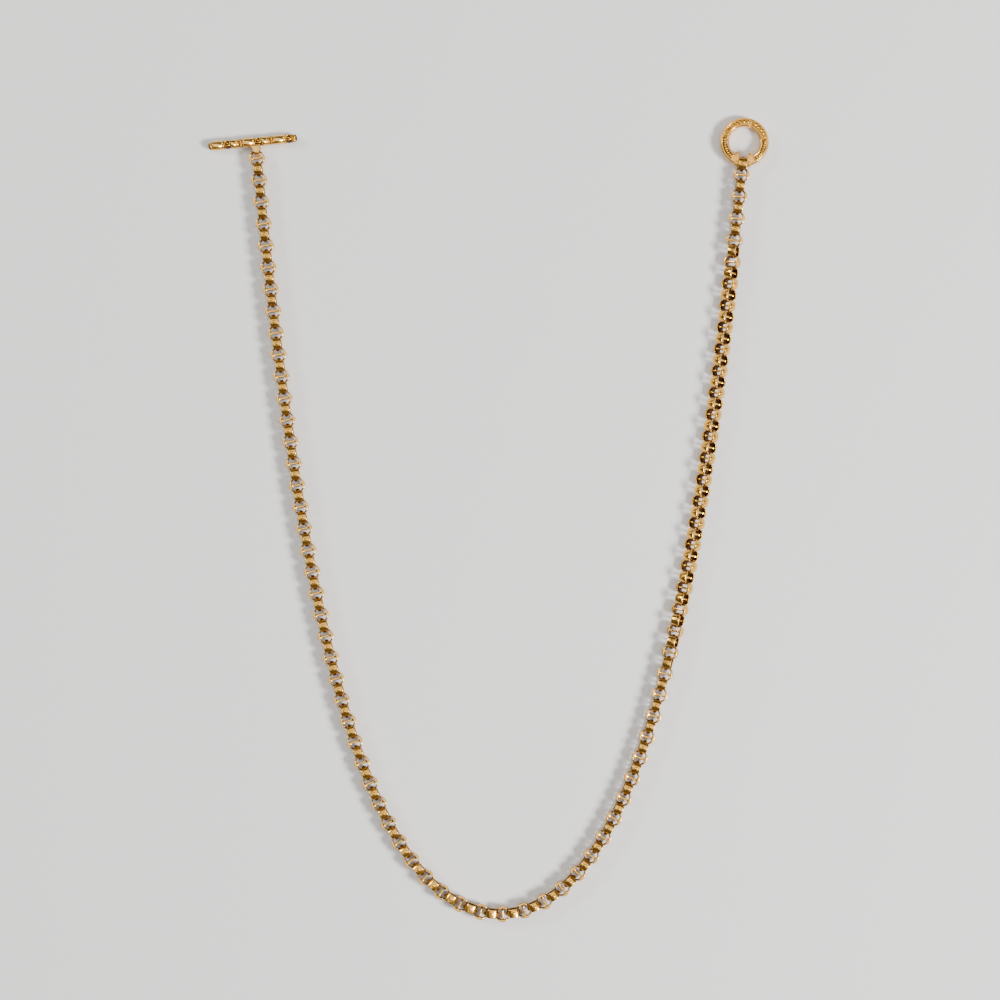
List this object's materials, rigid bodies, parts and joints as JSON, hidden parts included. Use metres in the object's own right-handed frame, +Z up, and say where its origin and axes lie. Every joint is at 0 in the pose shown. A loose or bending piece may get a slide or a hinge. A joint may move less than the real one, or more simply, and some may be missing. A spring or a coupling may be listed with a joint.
{
  "type": "pocket watch chain",
  "caption": "Flexible pocket watch chain of small barred links with a banded T-bar at one end and a flat end ring at the other, lying flat in a hanging curve.",
  "frame": {"origin": "on the table, at the middle of the chain's footprint", "axes": "+Z up from the table; +Y towards the two ends of the chain, away from its bend; +X from the T-bar to the end ring"},
  "size_m": [0.1346, 0.193, 0.0042],
  "materials": {
    "link_gold": "polished yellow gold",
    "bar_gold": "polished yellow gold",
    "worked_gold": "yellow gold with darkened recesses",
    "ring_gold": "polished yellow gold"
  },
  "bodies": {
    "links_077_080": {"links_077_080": "link_gold"},
    "links_081_084": {"links_081_084": "link_gold"},
    "links_085_088": {"links_085_088": "link_gold"},
    "links_089_092": {"links_089_092": "link_gold"},
    "links_093_096": {"links_093_096": "link_gold"},
    "links_097_100": {"links_097_100": "link_gold"},
    "links_101_104": {"links_101_104": "link_gold"},
    "links_105_108": {"links_105_108": "link_gold"},
    "links_109_112": {"links_109_112": "link_gold"},
    "links_113_116": {"links_113_116": "link_gold"},
    "links_117_120": {"links_117_120": "link_gold"},
    "links_121_124": {"links_121_124": "link_gold"},
    "links_125_128": {"links_125_128": "link_gold"},
    "links_129_132": {"links_129_132": "link_gold"},
    "links_133_136": {"links_133_136": "link_gold"},
    "links_137_140": {"links_137_140": "link_gold"},
    "links_141_144": {"links_141_144": "link_gold"},
    "links_145_148": {"links_145_148": "link_gold"},
    "link_149": {"link_149": "link_gold"},
    "link_150": {"link_150": "link_gold"},
    "link_151": {"link_151": "link_gold"},
    "link_152": {"link_152": "link_gold"},
    "end_ring": {"ring_body": "ring_gold", "ring_ear_left": "ring_gold", "ring_ear_right": "ring_gold", "ring_pin": "ring_gold", "ring_studs": "worked_gold"},
    "links_073_076": {"links_073_076": "link_gold"},
    "links_069_072": {"links_069_072": "link_gold"},
    "links_065_068": {"links_065_068": "link_gold"},
    "links_061_064": {"links_061_064": "link_gold"},
    "links_057_060": {"links_057_060": "link_gold"},
    "links_053_056": {"links_053_056": "link_gold"},
    "links_049_052": {"links_049_052": "link_gold"},
    "links_045_048": {"links_045_048": "link_gold"},
    "links_041_044": {"links_041_044": "link_gold"},
    "links_037_040": {"links_037_040": "link_gold"},
    "links_033_036": {"links_033_036": "link_gold"},
    "links_029_032": {"links_029_032": "link_gold"},
    "links_025_028": {"links_025_028": "link_gold"},
    "links_021_024": {"links_021_024": "link_gold"},
    "links_017_020": {"links_017_020": "link_gold"},
    "links_013_016": {"links_013_016": "link_gold"},
    "links_009_012": {"links_009_012": "link_gold"},
    "links_005_008": {"links_005_008": "link_gold"},
    "link_004": {"link_004": "link_gold"},
    "link_003": {"link_003": "link_gold"},
    "link_002": {"link_002": "link_gold"},
    "link_001": {"link_001": "link_gold"},
    "t_bar": {"t_bar_rod": "bar_gold", "t_bar_eye": "bar_gold", "t_bar_cap_left": "worked_gold", "t_bar_cap_right": "worked_gold", "t_bar_long_sleeve_1": "bar_gold", "t_bar_long_sleeve_2": "bar_gold", "t_bar_long_sleeve_3": "bar_gold", "t_bar_short_sleeve_1": "bar_gold", "t_bar_short_sleeve_2": "bar_gold", "t_bar_stud_collars": "bar_gold", "t_bar_groove_collars": "worked_gold"}
  },
  "joints": [
    {"name": "hinge_links_077_080_links_081_084", "type": "hinge", "parent": "links_077_080", "child": "links_081_084", "pos_m": [0.01224, -0.09225, 0.00184], "axis": [0.4066, -0.9136, 0], "range_deg": [-20, 20]},
    {"name": "hinge_links_081_084_links_085_088", "type": "hinge", "parent": "links_081_084", "child": "links_085_088", "pos_m": [0.02053, -0.08583, 0.00184], "axis": [0, 0, 1], "range_deg": [-23.7, 16.3]},
    {"name": "hinge_links_085_088_links_089_092", "type": "hinge", "parent": "links_085_088", "child": "links_089_092", "pos_m": [0.02688, -0.07743, 0.00184], "axis": [-0.8392, 0.5438, 0], "range_deg": [-20, 20]},
    {"name": "hinge_links_089_092_links_093_096", "type": "hinge", "parent": "links_089_092", "child": "links_093_096", "pos_m": [0.03184, -0.06814, 0.00184], "axis": [0, 0, -1], "range_deg": [-18.61, 21.39]},
    {"name": "hinge_links_093_096_links_097_100", "type": "hinge", "parent": "links_093_096", "child": "links_097_100", "pos_m": [0.03586, -0.05839, 0.00184], "axis": [-0.9352, 0.354, 0], "range_deg": [-20, 20]},
    {"name": "hinge_links_097_100_links_101_104", "type": "hinge", "parent": "links_097_100", "child": "links_101_104", "pos_m": [0.03922, -0.0484, 0.00185], "axis": [0.0141, -0.0042, -0.9999], "range_deg": [-19.32, 20.68]},
    {"name": "hinge_links_101_104_links_105_108", "type": "hinge", "parent": "links_101_104", "child": "links_105_108", "pos_m": [0.04209, -0.03826, 0.00197], "axis": [0.9592, -0.2565, 0.1189], "range_deg": [-20.06, 19.94]},
    {"name": "hinge_links_105_108_links_109_112", "type": "hinge", "parent": "links_105_108", "child": "links_109_112", "pos_m": [0.0446, -0.02802, 0.00208], "axis": [-0.395, 0.0892, 0.9143], "range_deg": [-20.36, 19.64]},
    {"name": "hinge_links_109_112_links_113_116", "type": "hinge", "parent": "links_109_112", "child": "links_113_116", "pos_m": [0.04683, -0.01771, 0.00208], "axis": [0.8077, -0.1669, 0.5655], "range_deg": [-20.18, 19.82]},
    {"name": "hinge_links_113_116_links_117_120", "type": "hinge", "parent": "links_113_116", "child": "links_117_120", "pos_m": [0.04883, -0.00736, 0.00202], "axis": [-0.6932, 0.1255, 0.7097], "range_deg": [-20.18, 19.82]},
    {"name": "hinge_links_117_120_links_121_124", "type": "hinge", "parent": "links_117_120", "child": "links_121_124", "pos_m": [0.05065, 0.00303, 0.00201], "axis": [-0.6973, 0.1175, -0.7071], "range_deg": [-19.85, 20.15]},
    {"name": "hinge_links_121_124_links_125_128", "type": "hinge", "parent": "links_121_124", "child": "links_125_128", "pos_m": [0.05231, 0.01344, 0.00201], "axis": [0.6992, -0.1056, -0.7071], "range_deg": [-19.87, 20.13]},
    {"name": "hinge_links_125_128_links_129_132", "type": "hinge", "parent": "links_125_128", "child": "links_129_132", "pos_m": [0.05383, 0.02387, 0.00201], "axis": [-0.7001, 0.0995, -0.7071], "range_deg": [-19.89, 20.11]},
    {"name": "hinge_links_129_132_links_133_136", "type": "hinge", "parent": "links_129_132", "child": "links_133_136", "pos_m": [0.05525, 0.03432, 0.00201], "axis": [0.7013, -0.0908, -0.7071], "range_deg": [-19.91, 20.09]},
    {"name": "hinge_links_133_136_links_137_140", "type": "hinge", "parent": "links_133_136", "child": "links_137_140", "pos_m": [0.05657, 0.04478, 0.00201], "axis": [0.7018, -0.0863, 0.7071], "range_deg": [-20.08, 19.92]},
    {"name": "hinge_links_137_140_links_141_144", "type": "hinge", "parent": "links_137_140", "child": "links_141_144", "pos_m": [0.05781, 0.05525, 0.00203], "axis": [-0.6534, 0.0741, 0.7534], "range_deg": [-20.08, 19.92]},
    {"name": "hinge_links_141_144_links_145_148", "type": "hinge", "parent": "links_141_144", "child": "links_145_148", "pos_m": [0.05897, 0.06573, 0.00206], "axis": [0.9231, -0.1, 0.3714], "range_deg": [-20.03, 19.97]},
    {"name": "hinge_links_145_148_link_149", "type": "hinge", "parent": "links_145_148", "child": "link_149", "pos_m": [0.06006, 0.07622, 0.00184], "axis": [0, 0, 1], "range_deg": [-20.08, 19.92]},
    {"name": "hinge_link_149_link_150", "type": "hinge", "parent": "link_149", "child": "link_150", "pos_m": [0.06033, 0.07884, 0.00184], "axis": [-0.9951, 0.099, 0], "range_deg": [-20, 20]},
    {"name": "hinge_link_150_link_151", "type": "hinge", "parent": "link_150", "child": "link_151", "pos_m": [0.06059, 0.08147, 0.00184], "axis": [0, 0, -1], "range_deg": [-19.92, 20.08]},
    {"name": "hinge_link_151_link_152", "type": "hinge", "parent": "link_151", "child": "link_152", "pos_m": [0.06085, 0.08409, 0.00184], "axis": [-0.9953, 0.0964, 0], "range_deg": [-20, 20]},
    {"name": "hinge_link_152_end_ring", "type": "hinge", "parent": "link_152", "child": "end_ring", "pos_m": [0.06108, 0.08651, 0.00184], "axis": [0.9953, -0.0964, 0], "range_deg": [-84.88, 95.12]},
    {"name": "hinge_links_077_080_links_073_076", "type": "hinge", "parent": "links_077_080", "child": "links_073_076", "pos_m": [0.00211, -0.0946, 0.00184], "axis": [0.1036, 0.9946, 0], "range_deg": [-20, 20]},
    {"name": "hinge_links_073_076_links_069_072", "type": "hinge", "parent": "links_073_076", "child": "links_069_072", "pos_m": [-0.00786, -0.09159, 0.00184], "axis": [0, 0, 1], "range_deg": [-14.14, 25.86]},
    {"name": "hinge_links_069_072_links_065_068", "type": "hinge", "parent": "links_069_072", "child": "links_065_068", "pos_m": [-0.01588, -0.08482, 0.00184], "axis": [-0.7689, -0.6394, 0], "range_deg": [-20, 20]},
    {"name": "hinge_links_065_068_links_061_064", "type": "hinge", "parent": "links_065_068", "child": "links_061_064", "pos_m": [-0.02201, -0.07627, 0.00184], "axis": [0, 0, -1], "range_deg": [-22.05, 17.95]},
    {"name": "hinge_links_061_064_links_057_060", "type": "hinge", "parent": "links_061_064", "child": "links_057_060", "pos_m": [-0.02683, -0.0669, 0.00184], "axis": [-0.9171, -0.3986, 0], "range_deg": [-20, 20]},
    {"name": "hinge_links_057_060_links_053_056", "type": "hinge", "parent": "links_057_060", "child": "links_053_056", "pos_m": [-0.03075, -0.05711, 0.00184], "axis": [0, 0, -1], "range_deg": [-20.9, 19.1]},
    {"name": "hinge_links_053_056_links_049_052", "type": "hinge", "parent": "links_053_056", "child": "links_049_052", "pos_m": [-0.03404, -0.04709, 0.00184], "axis": [0.9593, 0.2822, 0], "range_deg": [-20, 20]},
    {"name": "hinge_links_049_052_links_045_048", "type": "hinge", "parent": "links_049_052", "child": "links_045_048", "pos_m": [-0.03686, -0.03694, 0.00184], "axis": [0, 0, 1], "range_deg": [-19.51, 20.49]},
    {"name": "hinge_links_045_048_links_041_044", "type": "hinge", "parent": "links_045_048", "child": "links_041_044", "pos_m": [-0.03933, -0.02669, 0.00184], "axis": [0.9762, 0.217, 0], "range_deg": [-20, 20]},
    {"name": "hinge_links_041_044_links_037_040", "type": "hinge", "parent": "links_041_044", "child": "links_037_040", "pos_m": [-0.04153, -0.01637, 0.00184], "axis": [0, 0, 1], "range_deg": [-19.69, 20.31]},
    {"name": "hinge_links_037_040_links_033_036", "type": "hinge", "parent": "links_037_040", "child": "links_033_036", "pos_m": [-0.0435, -0.00602, 0.00184], "axis": [-0.9844, -0.1759, 0], "range_deg": [-20, 20]},
    {"name": "hinge_links_033_036_links_029_032", "type": "hinge", "parent": "links_033_036", "child": "links_029_032", "pos_m": [-0.04529, 0.00437, 0.00184], "axis": [0, 0, -1], "range_deg": [-20.21, 19.79]},
    {"name": "hinge_links_029_032_links_025_028", "type": "hinge", "parent": "links_029_032", "child": "links_025_028", "pos_m": [-0.04693, 0.01479, 0.00184], "axis": [-0.989, -0.1477, 0], "range_deg": [-20, 20]},
    {"name": "hinge_links_025_028_links_021_024", "type": "hinge", "parent": "links_025_028", "child": "links_021_024", "pos_m": [-0.04845, 0.02522, 0.00184], "axis": [0, 0, -1], "range_deg": [-20.15, 19.85]},
    {"name": "hinge_links_021_024_links_017_020", "type": "hinge", "parent": "links_021_024", "child": "links_017_020", "pos_m": [-0.04985, 0.03567, 0.00184], "axis": [0.9919, 0.1273, 0], "range_deg": [-20, 20]},
    {"name": "hinge_links_017_020_links_013_016", "type": "hinge", "parent": "links_017_020", "child": "links_013_016", "pos_m": [-0.05116, 0.04614, 0.00184], "axis": [0, 0, 1], "range_deg": [-19.89, 20.11]},
    {"name": "hinge_links_013_016_links_009_012", "type": "hinge", "parent": "links_013_016", "child": "links_009_012", "pos_m": [-0.05238, 0.05661, 0.00184], "axis": [0.9937, 0.1118, 0], "range_deg": [-20, 20]},
    {"name": "hinge_links_009_012_links_005_008", "type": "hinge", "parent": "links_009_012", "child": "links_005_008", "pos_m": [-0.05354, 0.06709, 0.00184], "axis": [0, 0, 1], "range_deg": [-19.91, 20.09]},
    {"name": "hinge_links_005_008_link_004", "type": "hinge", "parent": "links_005_008", "child": "link_004", "pos_m": [-0.05462, 0.07758, 0.00184], "axis": [-0.995, -0.0996, 0], "range_deg": [-20, 20]},
    {"name": "hinge_link_004_link_003", "type": "hinge", "parent": "link_004", "child": "link_003", "pos_m": [-0.05489, 0.0802, 0.00184], "axis": [0, 0, -1], "range_deg": [-20.08, 19.92]},
    {"name": "hinge_link_003_link_002", "type": "hinge", "parent": "link_003", "child": "link_002", "pos_m": [-0.05515, 0.08282, 0.00184], "axis": [-0.9953, -0.097, 0], "range_deg": [-20, 20]},
    {"name": "hinge_link_002_link_001", "type": "hinge", "parent": "link_002", "child": "link_001", "pos_m": [-0.0554, 0.08545, 0.00184], "axis": [0, 0, -1], "range_deg": [-20.07, 19.93]},
    {"name": "hinge_link_001_t_bar", "type": "hinge", "parent": "link_001", "child": "t_bar", "pos_m": [-0.05566, 0.08816, 0.00184], "axis": [0, 0, 1], "range_deg": [-20, 20]}
  ]
}
